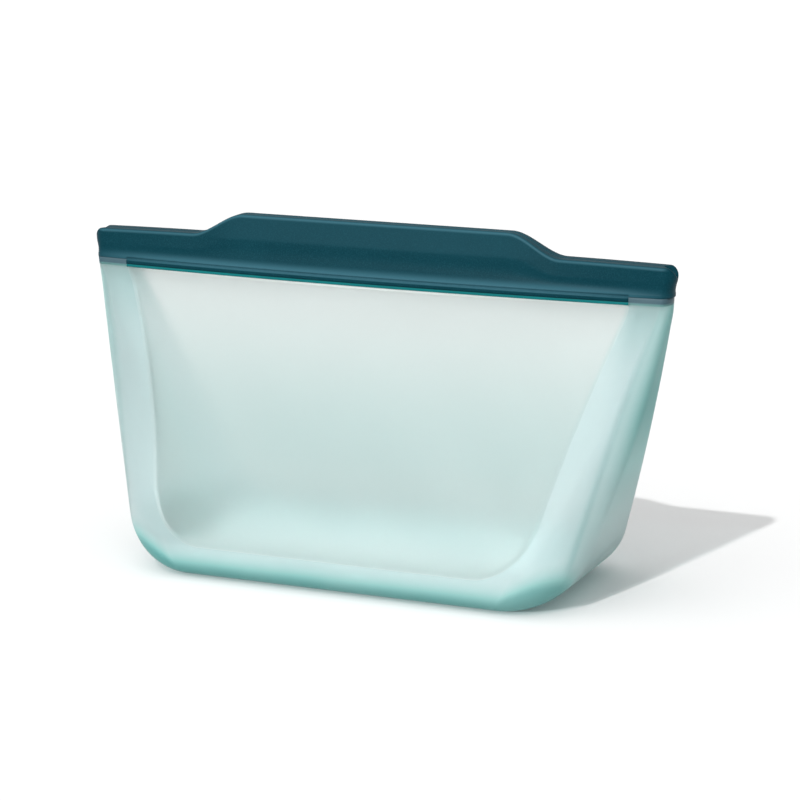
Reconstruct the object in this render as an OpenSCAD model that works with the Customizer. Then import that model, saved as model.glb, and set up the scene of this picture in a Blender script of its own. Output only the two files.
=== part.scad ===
// Stand-up silicone storage bag with a press-together closure rim.
// Millimetres, +Z up, origin on the floor under the middle of the bag,
// +X along the closure rim, front wall towards -Y.
// The bag is drawn closed. The front and rear walls each swing outward about a flexing line
// just above the base, and the rim's two ends stay joined.

/* [Closure rim] */
// Length of the rim, end to end
rim_l = 215; // [205:1:225]
// Height of the rim's top at its ends
rim_top_h = 115.5; // [114:0.5:117]
// How far the rim's top droops at its ends
rim_droop = 0.65; // [0:0.05:1]
// Half thickness of the closed rim at its ends
rim_half_t = 5.3; // [5:0.1:6]
// How much the half thickness shrinks towards the top
rim_taper = 0.6; // [0:0.1:1]
// Extra half thickness at the foot of the rim, at mid length
mouth_bow = 5; // [3:0.5:7]
// Length of each closure strip between the two joined ends
strip_l = 186; // [180:1:188]

/* [Pull tabs] */
// Height of the tabs' top edge
tab_h = 123; // [119:0.5:127]
// Length of the tabs' straight top edge
tab_top_l = 98; // [80:1:110]
// Length of the tabs where they meet the rim
tab_foot_l = 136.5; // [125:0.5:150]
// Half thickness of the two tabs pressed together
tab_half_t = 3.4; // [3:0.1:4]

/* [Seal] */
// Height of the middle of the seal
seal_h = 110; // [109.5:0.1:110.5]
// Length of the seal rib
rib_l = 180; // [160:1:182]
// Depth of the seal rib
rib_depth = 2.6; // [2:0.1:2.8]
// Half height of the rib at its tip
rib_tip = 0.8; // [0.6:0.1:1]
// Taper of each face of the rib, in degrees
rib_taper = 24; // [23:1:26]

/* [Walls] */
// Height of the walls, where they meet the rim
wall_h = 102.5; // [101:0.5:103]
// Width of the walls, carried straight down to the floor
base_w = 157.5; // [150:0.5:162]
// Width of the walls at the rim
top_w = 213; // [205:0.5:214]
// Outward bow of the two ends at half height
end_bow = 2.5; // [0:0.1:4]
// Depth of the bag, carried straight down to the floor
base_d = 90.3; // [80:0.1:94]
// Depth of the bag's ends at the rim
top_d = 7.4; // [7:0.1:8]
// Inward bow of the front and rear walls at half height
wall_sag = 3.6; // [0:0.1:5]
// Thickness of the thick frame around each wall and of the ends
frame_t = 2; // [1.6:0.1:2.2]
// Thickness of the thin panel in each wall
panel_t = 1.3; // [1:0.1:1.5]

/* [Base] */
// Radius between the floor and the walls
base_r = 17.3; // [16:0.1:19]
// Corner radius in plan, at the floor
corner_r_low = 22; // [20:0.5:24]
// Corner radius in plan, at the rim
corner_r_high = 3.2; // [3:0.1:3.4]
// Height of the flexing line of each wall
hinge_h = 12; // [11:0.5:13]

/* [Wall panels] */
// Width of a panel, carried down to the floor
panel_low_w = 132.8; // [126:0.2:134]
// Width of a panel at the rim, if the rim's ends allow it
panel_high_w = 187.6; // [180:0.2:188]
// Inward bow of the panel's sides at half height
panel_bow = 3.3; // [0:0.1:4]
// Radius of the panel's lower corners
panel_r = 12; // [8:0.5:14]
// Angle round the corner of the crease beside the end gusset, low down
crease_low = 58; // [50:1:65]
// The same angle at the rim
crease_high = 2; // [1:0.5:4]

/* [Hidden] */

wall_colour = "#b4d9d6";
band_colour = "#a2cfcb";
bead_colour = "#148287";
rim_colour = "#234f5d";

gap = 0.4;                    // clearance between parts that move apart
mate = gap / 2;               // each closure strip stands this far from the middle plane
bead_h = 0.8;                 // height of the bond bead under the rim
flange_h = 1.6;               // height of the flange that covers the bead
flange_stand = 0.35;          // how far the flange stands out past the rim's face
bead_set = 0.3;               // how far the bead is set back from the rim's face
groove_set = 0.5;             // depth of the groove above the flange
groove_h = 0.7;               // height of that groove
edge_r = 1.6;                 // rounding along the rim's top edges
throat_h = 106.4;             // height where the two strips part on the inside
channel_wall = 0.8;           // material around the rib's groove
channel_fit = 0.25;           // clearance all round the rib
flat_min = 0.5;               // least flat wall between a panel and the corner
mid_steps = 12;               // stations across half a panel or strip
corner_steps = 6;             // stations round a corner
round_steps = 6;              // levels round a panel's lower corner or the base radius
wall_steps = 7;               // levels above a panel's lower corner

rim_half_l = rim_l / 2;
strip_half_l = strip_l / 2;
bead_top = wall_h + bead_h;
flange_top = bead_top + flange_h;
rib_root = rib_tip + rib_depth * tan(rib_taper);

// ---- shape of the wall -------------------------------------------------------------------

function mix(a, b, f) = a + (b - a) * f;
function bump(f) = 4 * f * (1 - f);
function smooth(f) = let (c = min(1, max(0, f))) c * c * (3 - 2 * c);
function rise(z) = z / wall_h;

// Inset of the outer face at height z, from the rounding above the floor
function foot_inset(z) = z >= base_r ? 0 : base_r - sqrt(base_r ^ 2 - (base_r - z) ^ 2);

function half_w(z) = mix(base_w, top_w, rise(z)) / 2 + end_bow * bump(rise(z));
function half_d(z) = mix(base_d, top_d, rise(z)) / 2 - wall_sag * bump(rise(z));
function corner_r(z) = mix(corner_r_low, corner_r_high, rise(z));
function corner_x(z) = half_w(z) - corner_r(z);
function corner_y(z) = half_d(z) - corner_r(z);

// Depth from the middle plane to the wall at x on its flat stretch, set in by inset
function face_d(x, z, inset) =
    half_d(z) - inset + mouth_bow * rise(z) ^ 2 * (1 - (x / corner_x(z)) ^ 2) ^ 2;

// A point on the flat stretch, and one at an angle round the right front corner
function face_point(x, z, inset) = [x, -face_d(x, z, inset), z];
function corner_point(a, z, inset) =
    let (r = corner_r(z) - inset)
    [corner_x(z) + r * sin(a), -corner_y(z) - r * cos(a), z];

// Half width of the thin panel at height z; its lower corners start at height foot
function panel_x(z, foot) =
    let (side = mix(panel_low_w, panel_high_w, rise(z)) / 2 - panel_bow * bump(rise(z)),
         up = min(panel_r, z - foot),
         cut = panel_r - sqrt(panel_r ^ 2 - (panel_r - up) ^ 2))
    min(side - cut, corner_x(z) - flat_min, strip_half_l);

function crease_a(z) = mix(crease_low, crease_high, (z - hinge_h) / (wall_h - hinge_h));

// Heights of the rows of a wall patch that starts at height foot
function levels(foot) = concat(
    [for (i = [0 : round_steps]) foot + panel_r * (1 - cos(90 * i / round_steps))],
    [for (i = [1 : wall_steps]) mix(foot + panel_r, wall_h, i / wall_steps)]);

// ---- shape of the rim --------------------------------------------------------------------

function tab_blend(x) =
    smooth((tab_foot_l / 2 - abs(x)) / ((tab_foot_l - tab_top_l) / 2));
function rim_top(x) =
    mix(rim_top_h - rim_droop * (abs(x) / rim_half_l) ^ 4, tab_h, tab_blend(x));
function rim_foot_d(x) = rim_half_t + mouth_bow * (1 - (x / rim_half_l) ^ 2);
function rim_head_d(x) = mix(rim_half_t - rim_taper, tab_half_t, tab_blend(x));
function rim_d(x, z) = mix(rim_foot_d(x), rim_head_d(x), (z - wall_h) / (rim_top(x) - wall_h));

// Depth of a strip's inner face: flat above the throat, and opening down to the wall below it
function inner_d(x, z) =
    z >= throat_h ? mate
    : mix(face_d(x, wall_h, panel_t), mate, (z - wall_h) / (throat_h - wall_h));

// ---- solids from rows of points ----------------------------------------------------------

function flatten(rows) = [for (row = rows) for (p = row) p];

// Two triangles for a cell with corners a, b, c and d
function cell(a, b, c, d) = [[a, b, c], [a, c, d]];

// A shell between two grids of the same size, closed along its four edges.
// Seen from outside, each row runs to the right and the rows go up.
module shell(outer, inner) {
    rows = len(outer);
    n = len(outer[0]);
    far = rows * n;
    last = (rows - 1) * n;
    faces = concat(
        [for (i = [0 : rows - 2], j = [0 : n - 2])
            let (k = i * n + j) each cell(k, k + n, k + n + 1, k + 1)],
        [for (i = [0 : rows - 2], j = [0 : n - 2])
            let (k = far + i * n + j) each cell(k, k + 1, k + n + 1, k + n)],
        [for (j = [0 : n - 2]) each cell(j, j + 1, far + j + 1, far + j)],
        [for (j = [0 : n - 2])
            let (k = last + j) each cell(k, far + k, far + k + 1, k + 1)],
        [for (i = [0 : rows - 2])
            let (k = i * n) each cell(k, far + k, far + k + n, k + n)],
        [for (i = [0 : rows - 2])
            let (k = i * n + n - 1) each cell(k, k + n, far + k + n, far + k)]);
    polyhedron(points = concat(flatten(outer), flatten(inner)), faces = faces);
}

// A solid through closed rings of the same number of points, each ring flat.
// Seen along the stack, from its first ring to its last, the rings run anticlockwise.
module loft(rings) {
    n = len(rings[0]);
    last = (len(rings) - 1) * n;
    faces = concat(
        [[for (j = [n - 1 : -1 : 0]) j]],
        [for (i = [0 : len(rings) - 2], j = [0 : n - 1])
            let (k = i * n, m = (j + 1) % n) each cell(k + j, k + m, k + n + m, k + n + j)],
        [[for (j = [0 : n - 1]) last + j]]);
    polyhedron(points = flatten(rings), faces = faces);
}

// ---- wall parts --------------------------------------------------------------------------

// Thin panel of the front wall, between its frame and the rim
module wall_panel() {
    foot = hinge_h + gap;
    heights = levels(foot);
    function row(z, inset) =
        [for (j = [-mid_steps : mid_steps])
            face_point(j / mid_steps * (panel_x(z, foot) - gap), z, inset)];
    shell([for (z = heights) row(z, foot_inset(z))],
          [for (z = heights) row(z, foot_inset(z) + panel_t)]);
}

// Thick band between the front panel and the right end's crease
module corner_band() {
    heights = levels(hinge_h);
    function row(z, inset) = concat(
        [for (j = [0 : 2]) face_point(mix(panel_x(z, hinge_h), corner_x(z), j / 3), z, inset)],
        [for (j = [0 : corner_steps]) corner_point(crease_a(z) * j / corner_steps, z, inset)]);
    shell([for (z = heights) row(z, foot_inset(z))],
          [for (z = heights) row(z, foot_inset(z) + frame_t)]);
}

// Right end of the bag, from the front crease to the rear crease
module gusset() {
    heights = levels(hinge_h);
    function front_half(z, inset) =
        [for (j = [0 : corner_steps]) corner_point(mix(crease_a(z), 90, j / corner_steps), z, inset)];
    function row(z, inset) =
        let (half = front_half(z, inset))
        concat(half,
               [[half_w(z) - inset, 0, z]],
               [for (j = [corner_steps : -1 : 0]) [half[j][0], -half[j][1], z]]);
    shell([for (z = heights) row(z, foot_inset(z))],
          [for (z = heights) row(z, foot_inset(z) + frame_t)]);
}

// Floor of the bag and its rounded lower edge
module base_pan() {
    function quarter(z, inset) = concat(
        [for (j = [0 : 3]) face_point(corner_x(z) * j / 4, z, inset)],
        [for (j = [0 : corner_steps]) corner_point(90 * j / corner_steps, z, inset)]);
    function ring(z, inset) =
        let (q = quarter(z, inset), n = len(q))
        concat([for (j = [0 : n - 1]) q[j]],
               [[half_w(z) - inset, 0, z]],
               [for (j = [n - 1 : -1 : 0]) [q[j][0], -q[j][1], z]],
               [for (j = [1 : n - 1]) [-q[j][0], -q[j][1], z]],
               [[-half_w(z) + inset, 0, z]],
               [for (j = [n - 1 : -1 : 1]) [-q[j][0], q[j][1], z]]);
    function rings(r, a_end) =
        [for (i = [0 : round_steps])
            let (a = a_end * i / round_steps) ring(base_r - r * cos(a), base_r - r * sin(a))];
    inner_r = base_r - frame_t;
    outer = rings(base_r, acos((base_r - hinge_h) / base_r));
    inner = rings(inner_r, acos((base_r - hinge_h) / inner_r));
    color(band_colour)
        loft(concat(inner, [for (i = [round_steps : -1 : 0]) outer[i]]));
}

module right_gusset() color(band_colour) gusset();
module left_gusset() color(band_colour) mirror([1, 0, 0]) gusset();
module right_front_band() color(band_colour) corner_band();
module left_front_band() color(band_colour) mirror([1, 0, 0]) corner_band();
module right_rear_band() color(band_colour) mirror([0, 1, 0]) corner_band();
module left_rear_band() color(band_colour) rotate([0, 0, 180]) corner_band();
module front_panel() color(wall_colour) wall_panel();
module rear_panel() color(wall_colour) mirror([0, 1, 0]) wall_panel();

// ---- rim parts ---------------------------------------------------------------------------

function strip_half() =
    [for (j = [-2 * mid_steps : 2 * mid_steps]) strip_half_l * j / (2 * mid_steps)];

// A strip of the front half of the rim, from a list of [depth, height] corners at each x
module strip(sections) {
    xs = strip_half();
    loft([for (i = [0 : len(xs) - 1]) [for (p = sections[i]) [xs[i], -p[0], p[1]]]]);
}

// A plain strip between two heights, standing out from the rim's face by stand
module face_strip(low, high, stand) {
    strip([for (x = strip_half())
        [[inner_d(x, low), low], [rim_d(x, low) + stand, low],
         [rim_d(x, high) + stand, high], [inner_d(x, high), high]]]);
}

// Corners of a closure strip at x, from its foot up the outer face to the tab and down inside
function closure_outer(x) =
    let (top = rim_top(x), groove_top = flange_top + groove_h)
    [[rim_d(x, flange_top) - groove_set, flange_top],
     [rim_d(x, groove_top) - groove_set, groove_top],
     [rim_d(x, groove_top + groove_set), groove_top + groove_set],
     [rim_d(x, seal_h), seal_h],
     [rim_d(x, top - edge_r), top - edge_r],
     [rim_head_d(x) - edge_r * (1 - cos(45)), top - edge_r * (1 - sin(45))],
     [rim_head_d(x) - edge_r, top]];
function closure_inner(x) =
    [[mate + edge_r / 2, rim_top(x)],
     [mate, rim_top(x) - edge_r / 2]];
function closure_foot(x) =
    [[mate, throat_h],
     [inner_d(x, flange_top), flange_top]];

module front_closure_strip() {
    color(rim_colour)
        strip([for (x = strip_half()) concat(closure_outer(x), closure_inner(x), closure_foot(x))]);
}

// The rear strip has a square recess that the seal channel fills
module rear_closure_strip() {
    half = rib_root + channel_fit + channel_wall;
    deep = rib_depth + channel_fit + channel_wall;
    color(rim_colour)
        mirror([0, 1, 0])
            difference() {
                strip([for (x = strip_half())
                    concat(closure_outer(x), closure_inner(x), closure_foot(x))]);
                translate([-rib_l / 2 - channel_wall, -deep, seal_h - half])
                    cube([rib_l + 2 * channel_wall, deep, 2 * half]);
            }
}

// Tapered rib along the inside of the front strip
module seal_rib() {
    color(rim_colour)
        translate([-rib_l / 2, 0, seal_h])
            rotate([90, 0, 90])
                linear_extrude(rib_l)
                    polygon([[-mate, -rib_root], [rib_depth - mate, -rib_tip],
                             [rib_depth - mate, rib_tip], [-mate, rib_root]]);
}

// Lining of the rear strip's recess, grooved to take the rib
module seal_channel() {
    half = rib_root + channel_fit + channel_wall;
    deep = rib_depth + channel_fit + channel_wall;
    bottom = rib_depth - mate + channel_fit;
    mouth = rib_tip + channel_fit + (bottom - mate) * tan(rib_taper);
    color(bead_colour)
        translate([-rib_l / 2 - channel_wall, 0, seal_h])
            rotate([90, 0, 90])
                linear_extrude(rib_l + 2 * channel_wall)
                    polygon([[mate, -half], [deep, -half], [deep, half], [mate, half],
                             [mate, mouth], [bottom, rib_tip + channel_fit],
                             [bottom, -rib_tip - channel_fit], [mate, -mouth]]);
}

module front_bond_bead() color(bead_colour) face_strip(wall_h, bead_top, -bead_set);
module rear_bond_bead() color(bead_colour) mirror([0, 1, 0]) face_strip(wall_h, bead_top, -bead_set);
module front_bond_flange() color(rim_colour) face_strip(bead_top, flange_top, flange_stand);
module rear_bond_flange()
    color(rim_colour) mirror([0, 1, 0]) face_strip(bead_top, flange_top, flange_stand);

// Right end of the rim, where the front and rear strips are one
module end_hinge() {
    near = strip_half_l + gap;
    tip = rim_half_l - rim_half_t;
    // Front half of the outline at height z, drawn in by inset, from the near face to the tip
    function side(z, inset) = concat(
        [for (j = [0 : 2])
            let (x = mix(near, tip, j / 2)) [x, -rim_d(x, z) + inset, z]],
        [for (j = [1 : corner_steps])
            let (a = 90 * j / corner_steps, d = rim_d(tip, z) - inset)
            [tip + (rim_half_t - inset) * sin(a), -d * cos(a), z]]);
    function ring(z, inset) =
        let (s = side(z, inset), n = len(s))
        concat(s, [for (j = [n - 2 : -1 : 0]) [s[j][0], -s[j][1], z]]);
    top = rim_top(rim_half_l);
    color(rim_colour)
        loft([ring(top, edge_r), ring(top - edge_r * (1 - sin(45)), edge_r * (1 - cos(45))),
              ring(top - edge_r, 0), ring(seal_h, 0),
              ring(flange_top, 0), ring(bead_top, bead_set), ring(wall_h, bead_set)]);
}

module right_end_hinge() end_hinge();
module left_end_hinge() mirror([1, 0, 0]) end_hinge();

base_pan();
left_gusset();
right_gusset();
left_front_band();
right_front_band();
left_rear_band();
right_rear_band();
left_end_hinge();
right_end_hinge();
front_panel();
front_bond_bead();
front_bond_flange();
front_closure_strip();
seal_rib();
rear_panel();
rear_bond_bead();
rear_bond_flange();
rear_closure_strip();
seal_channel();
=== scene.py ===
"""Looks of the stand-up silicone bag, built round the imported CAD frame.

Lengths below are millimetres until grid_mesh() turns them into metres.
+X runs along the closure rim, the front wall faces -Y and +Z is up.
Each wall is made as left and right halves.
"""
import math

import bpy
import numpy as np
from mathutils import Matrix, Vector


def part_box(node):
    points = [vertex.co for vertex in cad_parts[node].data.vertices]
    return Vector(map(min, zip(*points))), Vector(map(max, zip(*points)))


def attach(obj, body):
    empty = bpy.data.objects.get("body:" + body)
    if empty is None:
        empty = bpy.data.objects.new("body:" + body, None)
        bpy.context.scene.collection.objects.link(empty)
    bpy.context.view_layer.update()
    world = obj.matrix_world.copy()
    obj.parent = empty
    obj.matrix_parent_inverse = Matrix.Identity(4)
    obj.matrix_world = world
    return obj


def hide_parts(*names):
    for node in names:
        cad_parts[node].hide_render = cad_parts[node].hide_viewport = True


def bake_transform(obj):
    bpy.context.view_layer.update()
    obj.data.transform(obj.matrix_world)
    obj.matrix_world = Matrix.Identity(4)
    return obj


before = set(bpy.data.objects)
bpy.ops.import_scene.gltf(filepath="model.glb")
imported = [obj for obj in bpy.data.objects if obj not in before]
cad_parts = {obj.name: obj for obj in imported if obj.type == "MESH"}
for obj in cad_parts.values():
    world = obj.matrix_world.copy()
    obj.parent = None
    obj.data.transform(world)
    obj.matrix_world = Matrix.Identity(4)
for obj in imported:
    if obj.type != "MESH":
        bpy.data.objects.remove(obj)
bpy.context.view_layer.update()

MM = 0.001

# ---- driving dimensions, from the frame where it gives them ---------------------------------


def box_mm(node):
    """Lowest and highest corner of a CAD node, in millimetres."""
    low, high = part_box(node)
    return low / MM, high / MM


RIM_OVERHANG = 0.7                                        # past the CAD's ends, before rounding
RIM_HALF_L = box_mm("right_end_hinge")[1].x + RIM_OVERHANG
STRIP_HALF_L = box_mm("front_closure_strip")[1].x
TAB_H = box_mm("front_closure_strip")[1].z
RIM_END_H = box_mm("right_end_hinge")[1].z
WALL_H = box_mm("front_panel")[1].z
HINGE_H = box_mm("base_pan")[1].z
FLANGE_LOW, FLANGE_TOP = (box_mm("front_bond_flange")[i].z for i in (0, 1))
RIB_LOW, RIB_HIGH = (box_mm("seal_rib")[i].z for i in (0, 1))
RIB_DEPTH = box_mm("seal_rib")[1].y - box_mm("seal_rib")[0].y
RIB_HALF_L = box_mm("seal_rib")[1].x
RIB_MID = (RIB_LOW + RIB_HIGH) / 2
RIB_HALF_H = (RIB_HIGH - RIB_LOW) / 2

BASE_HALF_W, TOP_HALF_W, END_BOW = 78.75, 106.5, 2.5      # half width low and high, bow between
BASE_HALF_D, TOP_HALF_D, WALL_SAG = 45.15, 3.7, 3.6       # half depth low and high, sag between
CORNER_LOW, CORNER_HIGH = 22.0, 3.2                       # corner radius in plan
BASE_R = 17.3                                             # radius between floor and walls
MOUTH_BOW = 5.0                                           # bulge of the walls under the rim
PANEL_LOW, PANEL_HIGH, PANEL_BOW, PANEL_R = 66.4, 93.8, 3.3, 12.0
CREASE_LOW, CREASE_HIGH = 58.0, 2.0                       # degrees round the corner
RIM_HALF_T, RIM_TAPER, TAB_HALF_T = 5.3, 0.6, 3.4
TAB_TOP_HALF, TAB_FOOT_HALF = 49.0, 68.25
RIM_DROOP = 0.65
MATE = 0.2                                                # half the gap between the two lips
FRAME_T, PANEL_T = 2.0, 1.3                               # wall thickness
PANEL_SET = 0.3                                           # the thin panel sits this far back
STEP_OUT, STEP_IN = 2.0, 2.2                              # width of the step round it, out and in
BAND_MIN = 0.5                                            # least width between panel and corner


# ---- shape of the wall ----------------------------------------------------------------------


def mix(a, b, f):
    return a + (b - a) * f


def bump(f):
    return 4 * f * (1 - f)


def smooth(f):
    c = np.clip(f, 0, 1)
    return c * c * (3 - 2 * c)


def rise(z):
    return z / WALL_H


def foot_inset(z, wall=0.0):
    """How far in from the outer shape a face is that lies wall millimetres inside the skin."""
    below = np.clip(BASE_R - z, 0, BASE_R - wall)
    return BASE_R - np.sqrt((BASE_R - wall) ** 2 - below**2)


def half_w(z):
    return mix(BASE_HALF_W, TOP_HALF_W, rise(z)) + END_BOW * bump(rise(z))


def half_d(z):
    return mix(BASE_HALF_D, TOP_HALF_D, rise(z)) - WALL_SAG * bump(rise(z))


def corner_r(z):
    return mix(CORNER_LOW, CORNER_HIGH, rise(z))


def corner_x(z):
    return half_w(z) - corner_r(z)


def corner_y(z):
    return half_d(z) - corner_r(z)


def face_d(x, z):
    return half_d(z) + MOUTH_BOW * rise(z) ** 2 * (1 - np.clip(x / corner_x(z), -1, 1) ** 2) ** 2


def panel_side(z):
    """Half width of the thin panel, without its rounded lower corners."""
    side = mix(PANEL_LOW, PANEL_HIGH, rise(z)) - PANEL_BOW * bump(rise(z))
    return np.minimum(side, np.minimum(corner_x(z) - BAND_MIN, STRIP_HALF_L))


def panel_x(z):
    up = np.clip(z - HINGE_H, 0, PANEL_R)
    return panel_side(np.maximum(z, HINGE_H)) - PANEL_R + np.sqrt(PANEL_R**2 - (PANEL_R - up) ** 2)


def inside_panel(x, z):
    """Distance in from the thin panel's outline, and 0 outside it."""
    side = panel_side(z) - np.abs(x)
    up = z - HINGE_H
    corner = PANEL_R - np.hypot(np.maximum(PANEL_R - side, 0), np.maximum(PANEL_R - up, 0))
    return np.maximum(np.minimum(np.minimum(side, up), corner), 0)


def crease_a(z):
    f = np.clip((z - HINGE_H) / (WALL_H - HINGE_H), 0, 1)
    return np.radians(mix(CREASE_LOW, CREASE_HIGH, f))


def waves(x, y, z):
    """Slow unevenness of soft moulded walls."""
    return (0.30 * np.sin(x / 17.0 + z / 31.0 + 0.6) * np.sin(z / 19.0 + 1.1)
            + 0.18 * np.sin(x / 9.5 - z / 12.0 + 2.0 + y / 40.0)
            + 0.10 * np.sin(x / 6.1 + z / 7.3 + 0.4))


# ---- meshes from grids of points --------------------------------------------------------------


class Surface:
    """Points and faces of one piece. Faces marked as caps are inside the silicone."""

    def __init__(self):
        self.points = []
        self.faces = []
        self.caps = []
        self.thick = []
        self.milk = []

    def grid(self, pts, flip, thick=0.0, milk=0.0, close=False):
        """Adds rows of points. Seen from outside, rows run right and go up unless flip."""
        rows, n = pts.shape[:2]
        start = len(self.points)
        self.points.extend(pts.reshape(-1, 3).tolist())
        self.thick.extend(np.broadcast_to(thick, (rows, n)).ravel().tolist())
        self.milk.extend(np.broadcast_to(milk, (rows, n)).ravel().tolist())
        for i in range(rows - 1):
            for j in range(n if close else n - 1):
                k = start + i * n
                m = (j + 1) % n
                face = (k + j, k + m, k + n + m, k + n + j)
                self.faces.append(face[::-1] if flip else face)
                self.caps.append(False)
        return start

    def cap(self, first, n, forward):
        """Closes a loop of n points that starts at point first."""
        loop = range(first, first + n)
        self.faces.append(tuple(loop if forward else loop[::-1]))
        self.caps.append(True)


WELD = 1e-4                                               # points closer than this become one
NORMAL_KEYS = 1000                                        # matching steps per millimetre


def build(name, surface, material):
    """A smooth mesh object in metres from a Surface."""
    pts = np.array(surface.points)
    keys = {}
    where = np.empty(len(pts), int)
    keep = []
    for i, key in enumerate(map(tuple, np.round(pts / WELD).astype(np.int64))):
        if key not in keys:
            keys[key] = len(keep)
            keep.append(i)
        where[i] = keys[key]
    faces = []
    caps = []
    for face, is_cap in zip(surface.faces, surface.caps):
        loop = [int(where[v]) for v in face]
        loop = [v for i, v in enumerate(loop) if v != loop[i - 1]]
        if len(set(loop)) == len(loop) and len(loop) > 2:
            faces.append(loop)
            caps.append(is_cap)
    mesh = bpy.data.meshes.new(name)
    mesh.from_pydata((pts[keep] * MM).tolist(), [], faces)
    for label, values in (("thick", surface.thick), ("milk", surface.milk)):
        attribute = mesh.attributes.new(label, "FLOAT", "POINT")
        attribute.data.foreach_set("value", np.array(values)[keep].astype(np.float32))
    cap_mark = mesh.attributes.new("cap", "BOOLEAN", "FACE")
    cap_mark.data.foreach_set("value", np.array(caps, bool))
    mesh.polygons.foreach_set("use_smooth", [True] * len(faces))
    mesh.materials.append(material)
    mesh.update()
    piece = bpy.data.objects.new(name, mesh)
    bpy.context.scene.collection.objects.link(piece)
    return piece


def share_normals(pieces):
    """Gives pieces that meet along an edge the same normals there, so that no seam shows."""
    total = {}
    for piece in pieces:
        mesh = piece.data
        for poly, mark in zip(mesh.polygons, mesh.attributes["cap"].data):
            if mark.value:
                continue
            weighted = np.array(poly.normal) * poly.area
            for v in poly.vertices:
                key = tuple(int(round(c / MM * NORMAL_KEYS)) for c in mesh.vertices[v].co)
                total[key] = total.get(key, 0) + weighted
    for piece in pieces:
        mesh = piece.data
        normals = []
        for vertex in mesh.vertices:
            key = tuple(int(round(c / MM * NORMAL_KEYS)) for c in vertex.co)
            value = total.get(key)
            length = 0 if value is None else np.linalg.norm(value)
            normals.append(tuple(value / length) if length > 1e-12 else tuple(vertex.normal))
        mesh.normals_split_custom_set_from_vertices(normals)


def placed(pts, right, rear):
    """Points of the front right quarter, moved to the asked quarter."""
    return pts * np.array([1 if right else -1, -1 if rear else 1, 1])


# ---- translucent walls ------------------------------------------------------------------------

ROUND_ROWS, WALL_ROWS, LIP_ROWS = 14, 44, 3
FLARE_H = 9.0                                             # the walls flare out over this height
FLARE_CURVE = 2.2                                         # power that shapes the flare
STRIP_T = 0.9                                             # body silicone over the rim's ends
STRIP_HALF_W = RIM_HALF_L - 2.1
HIGHLIGHT_LINE_DOWN = (1.5, 1.1, 0.9, 0.3, 0.1, 0.0)                # rows of the painted highlight line under the bond


def wall_heights():
    rounding = HINGE_H + PANEL_R * (1 - np.cos(np.linspace(0, math.pi / 2, ROUND_ROWS + 1)))
    above = np.linspace(HINGE_H + PANEL_R, WALL_H - HIGHLIGHT_LINE_DOWN[0], WALL_ROWS + 1)[1:]
    line = WALL_H - np.array(HIGHLIGHT_LINE_DOWN[1:])
    over_rim = np.linspace(WALL_H, FLANGE_TOP, LIP_ROWS + 1)[1:]
    return np.concatenate([rounding, above, line, over_rim])


def eased(n, power):
    """n + 1 fractions from 0 to 1, closer together towards 1."""
    return 1 - (1 - np.linspace(0, 1, n + 1)) ** power


PANEL_STATIONS = eased(44, 1.5)
BAND_STATIONS = 1 - eased(7, 1.4)[::-1]
TURN_STATIONS = eased(9, 1.5)
SIDE_STATIONS = 1 - eased(16, 1.5)[::-1]
FLAT_STATIONS = np.linspace(0, 1, 8)

RIDGE_H, RIDGE_W = 0.25, 3.0                              # the crease's soft ridge
WAVE_FADE = 14.0                                          # the waves die out towards the frame

# Point attribute "thick" picks a tint in wall_silicone(), "milk" how milky the silicone is. The
# tint is deeper where the silicone is thick, and also where shade is painted in; on the inner floor
# a lighter tint paints light.
LOWER_SHADE, FRAME_THICK, DEEP_THICK = 0.20, 0.40, 0.80
EDGE_AND_SHADE_THICK, OVER_RIM_THICK = 0.95, 1.0                    # seen edge-on and in painted shade, and over the rim
PANEL_EDGE_MILK, HIGHLIGHT_LINE_MILK = 0.18, 0.7                    # by the frame, and in the painted highlight line under the bond
BAND_MILK, LOW_MILK, END_MILK = 0.20, 0.20, 0.80          # all over, more low, more at the ends
# END_FOOT_SHADE_MILK is for the painted shade at the foot of the ends inside.
FLOOR_MILK, END_FOOT_SHADE_MILK = 0.85, 0.9


def flare(z):
    """0 on the walls, rising to 1 where they meet the rim."""
    return np.clip((z - WALL_H + FLARE_H) / FLARE_H, 0, 1) ** FLARE_CURVE


def rim_foot_d(x):
    return RIM_HALF_T + MOUTH_BOW * (1 - (x / RIM_HALF_L) ** 2)


def panel_points(z, inset_of):
    """Row of points across the right half of the front panel at height z."""
    x = PANEL_STATIONS * panel_x(z)
    depth = mix(face_d(x, z), rim_foot_d(x) - 0.1, flare(z)) - inset_of(x, z)
    return np.stack([x, -depth, np.full_like(x, z)], 1)


def crease_ridge(arc):
    """The wall stands out a little along the crease, at arc millimetres from it."""
    return RIDGE_H * (np.exp(-np.abs(arc) / RIDGE_W) - math.exp(-4))


def frame_points(z, inset):
    """Row from the panel's edge, round the corner, to the middle of the bag's right end."""
    x = mix(panel_x(z), corner_x(z), BAND_STATIONS)
    depth = mix(face_d(x, z), rim_foot_d(x), flare(z)) - inset
    flat = np.stack([x, -depth, np.full_like(x, z)], 1)
    crease = crease_a(z)
    past_crease = mix(crease, math.pi / 2, SIDE_STATIONS[1:])
    angles = np.concatenate([crease * TURN_STATIONS[1:], past_crease])
    fade = smooth((z - HINGE_H) / 10.0) * smooth((WALL_H - z) / 16.0)
    r = corner_r(z) - inset + fade * crease_ridge((angles - crease) * corner_r(z))
    r_across = mix(r, rim_foot_d(corner_x(z)) - corner_y(z) - inset, flare(z))
    r_along = mix(r, STRIP_HALF_W - corner_x(z) - inset, flare(z))
    turn = np.stack([corner_x(z) + r_along * np.sin(angles),
                     -corner_y(z) - r_across * np.cos(angles), np.full_like(angles, z)], 1)
    y = -corner_y(z) * (1 - FLAT_STATIONS[1:])
    end = np.stack([np.full_like(y, turn[-1, 0]), y, np.full_like(y, z)], 1)
    return np.concatenate([flat, turn, end])


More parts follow.
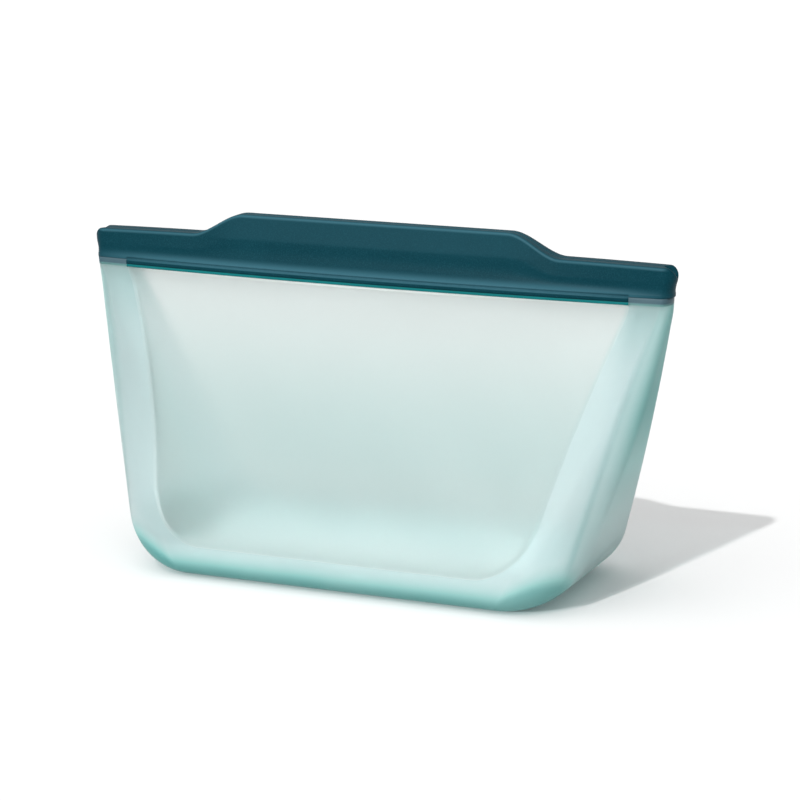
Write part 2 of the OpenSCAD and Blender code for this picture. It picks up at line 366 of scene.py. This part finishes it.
def outer_inset(x, z):
    return foot_inset(z) + PANEL_SET * smooth(inside_panel(x, z) / STEP_OUT)


def inner_inset(x, z):
    wall = mix(FRAME_T, PANEL_SET + PANEL_T, smooth(inside_panel(x, z) / STEP_IN))
    return foot_inset(z, wall)


def with_waves(pts, mask):
    """Moves the points of a wall in and out by the slow waves, where mask is above 0."""
    out = pts.copy()
    out[..., 1] += waves(pts[..., 0], pts[..., 1], pts[..., 2]) * mask
    return out


def panel_half(name, right, rear, material):
    z = wall_heights()
    outer = np.array([panel_points(h, outer_inset) for h in z])
    inner = np.array([panel_points(h, inner_inset) for h in z])
    depth = inside_panel(outer[..., 0], outer[..., 2])
    mask = smooth(depth / WAVE_FADE) * smooth((WALL_H - outer[..., 2]) / WAVE_FADE)
    x, h = np.abs(outer[..., 0]), outer[..., 2]
    near_edge = (1 - smooth(depth / STEP_OUT)) * smooth((h - HINGE_H - 2.0) / 14.0)
    # Painted shade: the window's tint deepens in its lower half, and lightens again towards its
    # foot.
    lower_shade = 1 - smooth((h - 45.0) / 52.0)
    foot = 1 - smooth((h - 14.0) / 22.0)
    thick = mix(LOWER_SHADE * lower_shade - 0.14 * foot, FRAME_THICK, 0.7 * near_edge)
    # A thin milky line under the bond: a painted highlight along the wall's top.
    line = smooth((h - WALL_H + 1.1) / 0.2) * smooth((90.0 - x) / 20.0)
    edge_milk = PANEL_EDGE_MILK * near_edge
    milk = np.maximum(edge_milk, HIGHLIGHT_LINE_MILK * line)
    s = Surface()
    flip = right == rear
    s.grid(with_waves(placed(outer, right, rear), mask), flip, thick, milk)
    s.grid(with_waves(placed(inner, right, rear), mask), not flip, thick, edge_milk)
    return build(name, s, material)


def turn_angle(pts):
    """Direction a point of the frame faces in plan: 0 to the front or rear, pi / 2 to the ends."""
    x, y, z = np.abs(pts[..., 0]), np.abs(pts[..., 1]), pts[..., 2]
    return np.arctan2(np.maximum(x - corner_x(z), 0), np.maximum(y - corner_y(z), 0))


def round_the_end(pts):
    """(share of the way from the crease to the flat of the bag's end, distance from the crease)."""
    z = pts[..., 2]
    past = turn_angle(pts) - crease_a(z)
    return np.clip(past / (math.pi / 2 - crease_a(z)), 0, 1), past * corner_r(z)


def up_the_end(z):
    """0 at the foot of the bag's ends, rising to 1 well above it."""
    return smooth((z - 10.0) / 60.0)


def crease_line(from_crease, z):
    """1 along the crease, fading out beside it and towards its foot."""
    return np.exp(-((from_crease / 1.3) ** 2)) * smooth((z - HINGE_H) / 8.0)


def edge_on_and_shaded_foot(pts):
    """1 along the rounded lower edge, where the silicone is seen edge-on and a painted shade
    darkens its underside, and 0 above it.
    """
    corner = bump(turn_angle(pts) / (math.pi / 2))
    return 1 - smooth((pts[..., 2] - 2.6 - 7.0 * corner) / 11.0)


def over_rim(pts, start):
    """1 where the frame lies over the rim's ends, from start millimetres above the walls' top."""
    return smooth((pts[..., 2] - WALL_H - start) / 0.5)


def frame_thick(pts):
    """How deep the tint of the frame is: more round the bag's ends and along its lower edge, partly
    as painted shade.
    """
    z = pts[..., 2]
    around, from_crease = round_the_end(pts)
    high = up_the_end(z)
    # Deeper round the bag's ends, most high up: partly silicone seen edge-on, partly painted shade
    # where the ends turn from the light.
    ends = around**0.8 * mix(0.04, 0.48, high) + 0.05 * smooth(from_crease / 0.8)
    crease = mix(0.20, 0.12, high) * crease_line(from_crease, z)
    above_foot = np.minimum(FRAME_THICK + ends + crease, EDGE_AND_SHADE_THICK)
    below_rim = mix(above_foot, EDGE_AND_SHADE_THICK, edge_on_and_shaded_foot(pts))
    return mix(below_rim, OVER_RIM_THICK, over_rim(pts, -0.4))


def frame_milk(pts):
    """How milky the frame is: most along its lower edge, round the ends and over the rim."""
    z = pts[..., 2]
    around, _ = round_the_end(pts)
    low = (1 - smooth((z - 2.0) / 14.0)) * (1 - around)
    milk = BAND_MILK + LOW_MILK * low + END_MILK * up_the_end(z) * around**0.8
    return mix(mix(milk, 1.0, edge_on_and_shaded_foot(pts)), 1.0, over_rim(pts, 0.0))


def end_foot_shade(pts):
    """1 at the foot of the bag's ends inside, above the floor, where a painted shade darkens the
    corner.
    """
    around, _ = round_the_end(pts)
    z = pts[..., 2]
    return around * smooth((z - 2.5) / 3.0) * (1 - smooth((z - 13.0) / 14.0))


def lining_thick(pts, at_crease=0.0):
    """Tint of the frame's inner face: deepest at the foot of the ends, a painted shade there, and
    along the crease.
    """
    around, from_crease = round_the_end(pts)
    crease = at_crease * crease_line(from_crease, pts[..., 2])
    return mix(mix(0.39, 0.10, smooth(around / 0.3)) + crease, EDGE_AND_SHADE_THICK, end_foot_shade(pts))


def lining_milk(pts):
    low = 1 - smooth((pts[..., 2] - 8.0) / 34.0)
    return BAND_MILK + 0.10 * low + 0.60 * end_foot_shade(pts)


def frame_half(name, right, rear, material):
    z = wall_heights()
    outer = np.array([frame_points(h, foot_inset(h)) for h in z])
    wall_t = [mix(FRAME_T, STRIP_T + 0.3, flare(h)) for h in z]
    inner = np.array([frame_points(h, foot_inset(h, t)) for h, t in zip(z, wall_t)])
    outer_and_top = np.concatenate([outer, frame_points(FLANGE_TOP, STRIP_T)[None]])
    s = Surface()
    flip = right == rear
    s.grid(placed(outer_and_top, right, rear), flip, frame_thick(outer_and_top),
           frame_milk(outer_and_top))
    s.grid(placed(inner, right, rear), not flip, lining_thick(outer, 0.35 if rear else 0.1),
           lining_milk(outer))
    return build(name, s, material)


FILLET_ROWS, FLOOR_ROWS = 14, 10


def base_piece(name, material):
    """Floor and rounded lower edge, up to the walls' flexing lines."""

    def quarter(z, inset):
        front = panel_points(z, lambda x, h: np.full_like(x, inset))
        return np.concatenate([front, frame_points(z, inset)[1:]])

    def ring(z, inset):
        q = quarter(z, inset)
        return np.concatenate([q, placed(q, True, True)[::-1][1:], placed(q, False, True)[1:],
                               placed(q, False, False)[::-1][1:-1]])

    def fillet(r, end):
        angle = np.linspace(0, end, FILLET_ROWS + 1)
        return [ring(BASE_R - r * math.cos(a), BASE_R - r * math.sin(a)) for a in angle]

    def disc(edge, lift):
        """Rings from the middle of the floor out to edge, raised by lift away from the rim."""
        rings = []
        for k in np.linspace(0, 1, FLOOR_ROWS + 1)[:-1]:
            row = edge * np.array([k, k, 1])
            row[:, 2] += lift * (1 - smooth((k - 0.82) / 0.14))
            rings.append(row)
        return rings

    outer_end = math.acos((BASE_R - HINGE_H) / BASE_R)
    inner_end = math.acos((BASE_R - HINGE_H) / (BASE_R - FRAME_T))
    outer = fillet(BASE_R, outer_end)
    inner = fillet(BASE_R - FRAME_T, inner_end)
    outer = np.array(disc(outer[0], 0.5) + outer)
    inner = np.array(disc(inner[0], 0.0) + inner)
    s = Surface()
    s.grid(outer, False, frame_thick(outer), frame_milk(outer), close=True)
    level = smooth((inner[..., 2] - 3.0) / (HINGE_H - 3.0))
    # Painted light: a lighter tint across the middle of the inner floor, seen through the lower
    # window.
    floor_lit_tint = mix(0.22, 0.45, smooth((np.abs(inner[..., 1]) - 14.0) / 20.0))
    tint = mix(mix(floor_lit_tint, lining_thick(inner), level), EDGE_AND_SHADE_THICK, end_foot_shade(inner))
    milk = mix(mix(FLOOR_MILK, lining_milk(inner), level), END_FOOT_SHADE_MILK, end_foot_shade(inner))
    s.grid(inner, True, tint, milk, close=True)
    return build(name, s, material)


# ---- closure rim -------------------------------------------------------------------------------

EDGE_R = 1.2                                              # rounding along the lips' top edges
GROOVE_DEPTH = 0.6
GROOVE_TOP = FLANGE_TOP + 0.75
WAIST_H, WAIST_END_H = 114.2, 110.0                       # the lips are most upright here
WAIST_SHARE = 0.42
THROAT_H = 106.4
FACE_STEPS = 30
TIP_R = 3.2                                               # rounding of the rim's end corners
TIP_TAPER = 1.4                                           # the rim's tips narrow towards their foot
TIP_X = RIM_HALF_L - RIM_HALF_T
TIP_TAPER_H = 7.0
WAIST_LINE_DEPTH, WAIST_LINE_H = 0.15, 0.6                # shallow line along the pull tab's foot
EDGE_ANGLES = np.radians([20, 40, 60, 75, 90])
SEAM = 0.05                                               # sections this close to the strip's end
RIB_FIT = 0.25                                            # room round the rib in its groove
RIB_BEVEL = 0.25                                          # along the rib's tip
RIB_TAPER = math.radians(24)                              # slope of the rib's flanks
RIB_TIP_HALF = RIB_HALF_H - RIB_DEPTH * math.tan(RIB_TAPER)
# (height above the flange's foot, inset) up the flange
FLANGE_ROWS = ((0.0, -0.05), (0.2, -0.30), (0.5, -0.38), (1.1, -0.38), (1.4, -0.30), (1.6, -0.05))
# (height, share of the groove's depth) up the groove over the flange
GROOVE_ROWS = ((FLANGE_TOP + 0.05, 0.9), (FLANGE_TOP + 0.25, 1.0), (GROOVE_TOP - 0.25, 0.8),
               (GROOVE_TOP, 0.4), (GROOVE_TOP + 0.25, 0.1))


def tab_blend(x):
    return smooth((TAB_FOOT_HALF - x) / (TAB_FOOT_HALF - TAB_TOP_HALF))


def rim_top(x):
    return mix(RIM_END_H + RIM_DROOP - RIM_DROOP * (x / RIM_HALF_L) ** 4, TAB_H, tab_blend(x))


def rim_head_d(x):
    return mix(RIM_HALF_T - RIM_TAPER, TAB_HALF_T, tab_blend(x))


def rim_face_d(x, z):
    """Depth of a lip's face: flared at the foot, upright at the waist, leaning in at the tab."""
    foot, head, top = rim_foot_d(x), rim_head_d(x), rim_top(x)
    waist_h = mix(WAIST_END_H, WAIST_H, tab_blend(x))
    waist = mix(head, foot, WAIST_SHARE)
    low = mix(waist, foot, np.clip((waist_h - z) / (waist_h - GROOVE_TOP), 0, 1) ** FLARE_CURVE)
    high = mix(waist, head, np.clip((z - waist_h) / (top - EDGE_R - waist_h), 0, 1))
    line = WAIST_LINE_DEPTH * tab_blend(x) * np.exp(-((z - waist_h) / WAIST_LINE_H) ** 2)
    return np.where(z < waist_h, low, high) - line


def lip_gap(x):
    """Distance of a lip's inner face from the middle plane: none where the lips are joined."""
    return MATE * (1 - smooth((x - STRIP_HALF_L + 0.5) / 1.0))


def inner_d(x, z):
    wall = face_d(x, WALL_H) - PANEL_T - PANEL_SET
    return mix(wall, lip_gap(x), np.clip((z - WALL_H) / (THROAT_H - WALL_H), 0, 1))


def tip_drop(reach):
    """How much lower the rim's rounded end corner is, at reach from mid length."""
    past = np.clip(reach - RIM_HALF_L + TIP_R, 0, TIP_R)
    return TIP_R - np.sqrt(TIP_R**2 - past**2)


def lip_outline(x, top):
    """(height, face depth, inset) from the flange's foot, up the face, to the top's inner edge."""
    foot = float(rim_foot_d(x))
    on_strip = x < STRIP_HALF_L
    rows = [(FLANGE_LOW + up, foot, inset if on_strip else STRIP_T) for up, inset in FLANGE_ROWS]
    groove = GROOVE_DEPTH if on_strip else 0.0
    rows += [(z, foot, groove * share) for z, share in GROOVE_ROWS]
    for f in np.linspace(0, 1, FACE_STEPS + 1):
        z = mix(GROOVE_TOP + 0.5, top - EDGE_R, f)
        rows.append((z, float(rim_face_d(x, z)), 0.0))
    for a in EDGE_ANGLES:
        rows.append((top - EDGE_R * (1 - math.sin(a)), float(rim_face_d(x, top - EDGE_R)),
                     EDGE_R * (1 - math.cos(a))))
    return rows


def lip_stations():
    """(x along the rim, angle round its tip) of each section, from mid length to the tip.

    They are closest where the pull tab slopes down.
    """
    xs = np.concatenate([np.linspace(0, 44, 15), np.linspace(46, 72, 27),
                         np.linspace(74, STRIP_HALF_L - SEAM, 12),
                         np.linspace(STRIP_HALF_L + SEAM, TIP_X, 8)])
    return [(x, 0.0) for x in xs] + [(TIP_X, a) for a in np.radians(np.arange(6, 91, 6))]


def lip_section(x, angle, notch):
    """Closed loop of one section of a front right lip. notch lists the inner face's seal shape."""
    loop = []
    top = float(rim_top(x) - tip_drop(x + RIM_HALF_T * math.sin(angle)))
    for z, d, inset in lip_outline(x, top):
        if angle:
            foot_taper = TIP_TAPER * float(1 - smooth((z - GROOVE_TOP) / TIP_TAPER_H))
            end = RIM_HALF_T + (d - float(rim_foot_d(x))) * 0.5 - foot_taper
            loop.append((TIP_X + (end - inset) * math.sin(angle), (d - inset) * math.cos(angle), z))
        else:
            loop.append((x, d - inset, z))
    gap = float(lip_gap(x))
    inner = [(gap + 0.25, top), (gap + 0.07, top - 0.07), (gap, top - 0.25)]
    inner += [(gap + depth, z) for depth, z in notch]
    inner += [(gap, THROAT_H), (float(inner_d(x, FLANGE_LOW)), FLANGE_LOW)]
    for d, z in inner:
        loop.append((TIP_X, 0.0, z) if angle else (x, d, z))
    return [(px, -d, z) for px, d, z in loop]


def seal_notch(x):
    """Groove of the rear lip at x, as (depth from its inner face, height) going down."""
    depth = (RIB_DEPTH + RIB_FIT) * float(smooth(RIB_HALF_L + 1 - x))
    root = RIB_HALF_H + RIB_FIT
    tip = RIB_TIP_HALF + RIB_FIT
    return [(0.0, RIB_MID + root), (depth, RIB_MID + tip), (depth, RIB_MID - tip),
            (0.0, RIB_MID - root)]


def lip_lit_and_thin(pts):
    """How solid a lip looks: lighter at its flared foot, a painted light where the face turns up,
    and in the pull tab above the waist, which is thinner and also painted lighter; a painted
    highlight runs along its top edge.
    """
    x, z = np.abs(pts[..., 0]), pts[..., 2]
    # Painted light on the flared foot, where the face turns up.
    lit_flare = smooth((108.4 - z) / 3.0) * smooth((z - FLANGE_TOP + 0.5) / 0.5)
    foot = lit_flare * (1 - (x / RIM_HALF_L) ** 6)
    # The pull tab a little lighter: thinner silicone, and painted light where it leans back.
    tab = tab_blend(x) * smooth((z - WAIST_H) / 1.0)
    down = pts[..., 2].max(axis=1, keepdims=True) - z
    # Painted highlight along the lip's top edge.
    edge = np.exp(-(((down - 0.5) / 0.4) ** 2)) * smooth((RIM_HALF_L - 2 - x) / 3.0)
    return np.clip(1 - foot - 0.1 * tab - 0.8 * edge, 0, 1)


def lip_half(name, right, rear, material):
    loops = []
    for x, angle in lip_stations():
        notch = seal_notch(x) if rear else [(0.0, z) for _, z in seal_notch(x)]
        loops.append(lip_section(x, angle, notch))
    pts = placed(np.array(loops), right, rear)
    s = Surface()
    flip = right != rear
    start = s.grid(pts, flip, lip_lit_and_thin(pts), close=True)
    n = pts.shape[1]
    s.cap(start, n, flip)
    s.cap(start + (len(loops) - 1) * n, n, not flip)
    return build(name, s, material)


BEAD_PROUD, BEAD_DROP = 0.05, 0.3                         # past the foot, and below the bond


def bead_half(name, right, rear, material):
    """Bond bead under the flange, as far as the flange goes."""
    rows = []
    for x in np.linspace(0, STRIP_HALF_L, 48):
        foot = float(rim_foot_d(x))
        inner = float(inner_d(x, WALL_H))
        face = -foot - BEAD_PROUD
        low = WALL_H - BEAD_DROP
        rows.append([(x, -foot + 0.1, FLANGE_LOW), (x, face, FLANGE_LOW - 0.2),
                     (x, face, WALL_H - 0.1), (x, -foot + 0.2, low),
                     (x, -inner, low), (x, -inner, FLANGE_LOW)])
    pts = placed(np.array(rows), right, rear)
    s = Surface()
    flip = right == rear
    start = s.grid(pts, flip, close=True)
    n = pts.shape[1]
    s.cap(start, n, flip)
    s.cap(start + (len(rows) - 1) * n, n, not flip)
    return build(name, s, material)


def rib_half(name, right, material):
    """Half of the tapered rib on the front lip's inner face."""
    rows = []
    for x in np.linspace(0, RIB_HALF_L, 46):
        root = -MATE - 0.1
        tip = RIB_DEPTH * float(smooth((RIB_HALF_L - x) / 1.5)) - MATE
        half = [(root, RIB_HALF_H), (tip - RIB_BEVEL, RIB_TIP_HALF + 0.08),
                (tip, RIB_TIP_HALF - RIB_BEVEL)]
        below = [(x, y, RIB_MID - up) for y, up in half]
        above = [(x, y, RIB_MID + up) for y, up in half[::-1]]
        rows.append(below + above)
    pts = placed(np.array(rows), right, False)
    s = Surface()
    flip = not right
    start = s.grid(pts, flip, 1.0, close=True)
    s.cap(start, pts.shape[1], flip)
    return build(name, s, material)


# ---- materials ---------------------------------------------------------------------------------


def new_material(name):
    material = bpy.data.materials.new(name)
    material.use_nodes = True
    tree = material.node_tree
    tree.nodes.clear()
    out = tree.nodes.new("ShaderNodeOutputMaterial")
    shader = tree.nodes.new("ShaderNodeBsdfPrincipled")
    tree.links.new(shader.outputs["BSDF"], out.inputs["Surface"])
    return material, tree, shader


def attribute(tree, label):
    node = tree.nodes.new("ShaderNodeAttribute")
    node.attribute_name = label
    return node.outputs["Fac"]


def noise(tree, scale, detail=2.0):
    coords = tree.nodes.new("ShaderNodeTexCoord")
    node = tree.nodes.new("ShaderNodeTexNoise")
    node.inputs["Scale"].default_value = scale
    node.inputs["Detail"].default_value = detail
    tree.links.new(coords.outputs["Object"], node.inputs["Vector"])
    return node.outputs["Fac"]


def ramp(tree, source, low, high, start=0.3, end=0.7):
    """Maps source from start..end to low..high."""
    node = tree.nodes.new("ShaderNodeMapRange")
    node.inputs["From Min"].default_value = start
    node.inputs["From Max"].default_value = end
    node.inputs["To Min"].default_value = low
    node.inputs["To Max"].default_value = high
    tree.links.new(source, node.inputs["Value"])
    return node.outputs["Result"]


def mix_colour(tree, factor, a, b):
    node = tree.nodes.new("ShaderNodeMix")
    node.data_type = "RGBA"
    for socket, value in ((node.inputs[6], a), (node.inputs[7], b)):
        if isinstance(value, tuple):
            socket.default_value = (*value, 1)
        else:
            tree.links.new(value, socket)
    tree.links.new(factor, node.inputs[0])
    return node.outputs[2]


def bumped(tree, shader, source, strength, distance):
    node = tree.nodes.new("ShaderNodeBump")
    node.inputs["Strength"].default_value = strength
    node.inputs["Distance"].default_value = distance
    tree.links.new(source, node.inputs["Height"])
    tree.links.new(node.outputs["Normal"], shader.inputs["Normal"])


THIN_TINT = (0.84, 0.88, 0.87)
# tint of the painted shade in the lower window
LOWER_SHADE_TINT = (0.70, 0.80, 0.79)
FRAME_TINT = (0.65, 0.76, 0.765)
DEEP_TINT = (0.24, 0.50, 0.48)
# also the colour of the painted shade along the lower edge and at the foot of the ends inside
EDGE_AND_SHADE_TINT = (0.10, 0.31, 0.295)
OVER_RIM_TINT = (0.004, 0.055, 0.080)                     # silicone with the dark rim close behind
CLOUD_TINT = (0.84, 0.89, 0.89)
CLEAR_SHARE, MILKY_SHARE = 0.88, 0.10                     # share of light that goes through
LAMP_SHARE = (0.46, 0.50, 0.50)                           # of a lamp's light, at each surface
LAMP_SHARE_MILKY = (0.84, 0.88, 0.88)                     # the same where the silicone is milkiest
SILICONE_IOR, WALL_SHEEN = 1.41, 0.04                     # low sheen keeps the end from greying
WALL_ROUGH = (0.28, 0.31)                                 # smoother, the denoiser draws lines
RIM_DARK, RIM_LIGHT = (0.0004, 0.028, 0.040), (0.0008, 0.032, 0.045)
RIM_LIT_AND_THIN = (0.034, 0.112, 0.145)                          # painted light on the lip's flared foot and thinner pull tab, and a painted highlight along its top edge
RIM_GRAIN = (0.012, 0.070, 0.095)
BOND_DARK, BOND_LIGHT = (0.001, 0.115, 0.122), (0.002, 0.145, 0.150)
FLOOR_DARK, FLOOR_LIGHT = (0.80, 0.80, 0.80), (0.805, 0.805, 0.805)


def wall_silicone():
    """Frosted aqua silicone: clear in the thin panels, milky and greener where it is thick, and
    greener too where shade is painted in.
    """
    material, tree, shader = new_material("frosted_aqua_silicone")
    thick = attribute(tree, "thick")
    milk = attribute(tree, "milk")
    depth = tree.nodes.new("ShaderNodeValToRGB")
    stops = depth.color_ramp.elements
    for place in (LOWER_SHADE, FRAME_THICK, DEEP_THICK, EDGE_AND_SHADE_THICK):
        stops.new(place)
    tints = (THIN_TINT, LOWER_SHADE_TINT, FRAME_TINT, DEEP_TINT, EDGE_AND_SHADE_TINT, OVER_RIM_TINT)
    for stop, tint in zip(stops, tints):
        stop.color = (*tint, 1)
    tree.links.new(thick, depth.inputs["Fac"])
    cloud = ramp(tree, noise(tree, 22.0, 3.0), 0.0, 0.10)
    colour = mix_colour(tree, cloud, depth.outputs["Color"], CLOUD_TINT)
    tree.links.new(colour, shader.inputs["Base Color"])
    clear = ramp(tree, milk, CLEAR_SHARE, MILKY_SHARE, 0.0, 1.0)
    tree.links.new(clear, shader.inputs["Transmission Weight"])
    rough = ramp(tree, noise(tree, 18.0, 0.0), *WALL_ROUGH, 0.0, 1.0)
    tree.links.new(rough, shader.inputs["Roughness"])
    shader.inputs["IOR"].default_value = SILICONE_IOR
    shader.inputs["Specular IOR Level"].default_value = WALL_SHEEN
    path = tree.nodes.new("ShaderNodeLightPath")
    lamps = tree.nodes.new("ShaderNodeBsdfTransparent")
    milkiest = ramp(tree, milk, 0.0, 1.0, 0.4, 0.9)
    share = mix_colour(tree, milkiest, LAMP_SHARE, LAMP_SHARE_MILKY)
    tree.links.new(share, lamps.inputs["Color"])
    either = tree.nodes.new("ShaderNodeMixShader")
    tree.links.new(path.outputs["Is Shadow Ray"], either.inputs["Fac"])
    tree.links.new(shader.outputs["BSDF"], either.inputs[1])
    tree.links.new(lamps.outputs["BSDF"], either.inputs[2])
    tree.links.new(either.outputs["Shader"], tree.nodes["Material Output"].inputs["Surface"])
    return material


def rim_silicone():
    """Dark teal silicone with a fine matte grain, a little lighter where light is painted on: the
    flared foot, the thinner pull tab and a highlight along the top edge.
    """
    material, tree, shader = new_material("dark_teal_silicone")
    cloud = ramp(tree, noise(tree, 45.0, 3.0), 0.0, 1.0)
    solid = mix_colour(tree, cloud, RIM_DARK, RIM_LIGHT)
    colour = mix_colour(tree, attribute(tree, "thick"), RIM_LIT_AND_THIN, solid)
    grain = ramp(tree, noise(tree, 2600.0, 2.0), 0.0, 0.35, 0.45, 0.75)
    colour = mix_colour(tree, grain, colour, RIM_GRAIN)
    tree.links.new(colour, shader.inputs["Base Color"])
    tree.links.new(ramp(tree, noise(tree, 900.0, 2.0), 0.36, 0.44), shader.inputs["Roughness"])
    bumped(tree, shader, noise(tree, 2600.0, 2.0), 0.06, 0.0002)
    shader.inputs["Specular IOR Level"].default_value = 0.05
    return material


def bead_silicone():
    """Saturated teal where clear silicone is bonded over the dark."""
    material, tree, shader = new_material("bond_teal_silicone")
    cloud = ramp(tree, noise(tree, 90.0, 2.0), 0.0, 1.0)
    colour = mix_colour(tree, cloud, BOND_DARK, BOND_LIGHT)
    tree.links.new(colour, shader.inputs["Base Color"])
    tree.links.new(ramp(tree, noise(tree, 300.0, 2.0), 0.36, 0.46), shader.inputs["Roughness"])
    shader.inputs["Specular IOR Level"].default_value = 0.12
    return material


def floor_material():
    material, tree, shader = new_material("pale_floor")
    cloud = ramp(tree, noise(tree, 6.0, 2.0), 0.0, 1.0)
    colour = mix_colour(tree, cloud, FLOOR_DARK, FLOOR_LIGHT)
    tree.links.new(colour, shader.inputs["Base Color"])
    shader.inputs["Roughness"].default_value = 0.9
    shader.inputs["Specular IOR Level"].default_value = 0.1
    return material


# ---- making the pieces -------------------------------------------------------------------------

wall_mat = wall_silicone()
rim_mat = rim_silicone()
bead_mat = bead_silicone()


def bend(piece):
    """Bakes the piece's placement into its mesh."""
    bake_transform(piece)


walls = []
lips = []
for rear in (False, True):
    face = "rear" if rear else "front"
    wall = face + "_wall"
    for right in (False, True):
        side = "right" if right else "left"
        panel = panel_half(f"{face}_panel_{side}", right, rear, wall_mat)
        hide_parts(face + "_panel")
        band = frame_half(f"{face}_band_{side}", right, rear, wall_mat)
        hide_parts(f"{side}_{face}_band", side + "_gusset")
        lip = lip_half(f"{face}_lip_{side}", right, rear, rim_mat)
        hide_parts(face + "_closure_strip", face + "_bond_flange", side + "_end_hinge")
        if rear:
            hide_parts("seal_channel")
        bead = bead_half(f"{face}_bond_bead_{side}", right, rear, bead_mat)
        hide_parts(face + "_bond_bead")
        walls += [(panel, wall, right), (band, wall, right)]
        lips += [(lip, wall, right), (bead, wall, right)]
for right in (False, True):
    rib = rib_half("seal_rib_" + ("right" if right else "left"), right, rim_mat)
    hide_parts("seal_rib")
    lips.append((rib, "front_wall", right))

base = base_piece("base_pan_moulding", wall_mat)
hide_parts("base_pan")

share_normals([p for p, _, _ in walls] + [base])
share_normals([p for p, _, _ in lips])
for piece, wall, right in walls + lips:
    bend(piece)
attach(base, "base")


# ---- floor, lights and camera ------------------------------------------------------------------

FLOOR_SIZE, FLOOR_DROP = 30.0, 0.0002                     # metres
bpy.ops.mesh.primitive_plane_add(size=FLOOR_SIZE, location=(0, 0, -FLOOR_DROP))
floor = bpy.context.object
floor.name = "floor"
floor.data.materials.append(floor_material())

KEY_FROM = Vector((-0.025, -0.72, 0.69))
KEY_ENERGY, KEY_ANGLE = 1.95, math.radians(1.2)
SKY_FROM = Vector((-0.28, -0.66, 0.69))                   # middle of the soft brightening
SKY_EVEN, SKY_KEY = 0.43, 1.27                            # all round, and added towards SKY_FROM


def soft_sky():
    """White surround with a broad soft brightening above the front left."""
    world = bpy.data.worlds.new("soft_white")
    world.use_nodes = True
    tree = world.node_tree
    coords = tree.nodes.new("ShaderNodeTexCoord")
    dot = tree.nodes.new("ShaderNodeVectorMath")
    dot.operation = "DOT_PRODUCT"
    dot.inputs[1].default_value = SKY_FROM.normalized()
    tree.links.new(coords.outputs["Generated"], dot.inputs[0])
    facing = tree.nodes.new("ShaderNodeMath")
    facing.operation = "MAXIMUM"
    facing.inputs[1].default_value = 0.0
    tree.links.new(dot.outputs["Value"], facing.inputs[0])
    square = tree.nodes.new("ShaderNodeMath")
    square.operation = "POWER"
    square.inputs[1].default_value = 2.0
    tree.links.new(facing.outputs[0], square.inputs[0])
    level = ramp(tree, square.outputs[0], SKY_EVEN, SKY_EVEN + SKY_KEY, 0.0, 1.0)
    background = tree.nodes["Background"]
    background.inputs["Color"].default_value = (1, 1, 1, 1)
    tree.links.new(level, background.inputs["Strength"])
    return world


bpy.context.scene.world = soft_sky()

sun = bpy.data.lights.new("key", "SUN")
sun.energy = KEY_ENERGY
sun.angle = KEY_ANGLE
key = bpy.data.objects.new("key", sun)
bpy.context.scene.collection.objects.link(key)
key.rotation_mode = "QUATERNION"
key.rotation_quaternion = KEY_FROM.to_track_quat("Z", "Y")

CAMERA_AT = Vector((0.3708, -0.8609, 0.2718))
CAMERA_AIM = Vector((0.00766, 0.00335, 0.06079))
CAMERA_ROLL = math.radians(0.10)
CAMERA_LENS, SENSOR_W = 124.9, 36.0
camera_data = bpy.data.cameras.new("camera")
camera_data.lens = CAMERA_LENS
camera_data.sensor_width = SENSOR_W
camera = bpy.data.objects.new("camera", camera_data)
bpy.context.scene.collection.objects.link(camera)
camera.location = CAMERA_AT
camera.rotation_mode = "QUATERNION"
roll = Matrix.Rotation(CAMERA_ROLL, 4, "Z").to_quaternion()
camera.rotation_quaternion = (CAMERA_AIM - CAMERA_AT).to_track_quat("-Z", "Y") @ roll
bpy.context.scene.camera = camera
bpy.context.scene.view_settings.view_transform = "Standard"
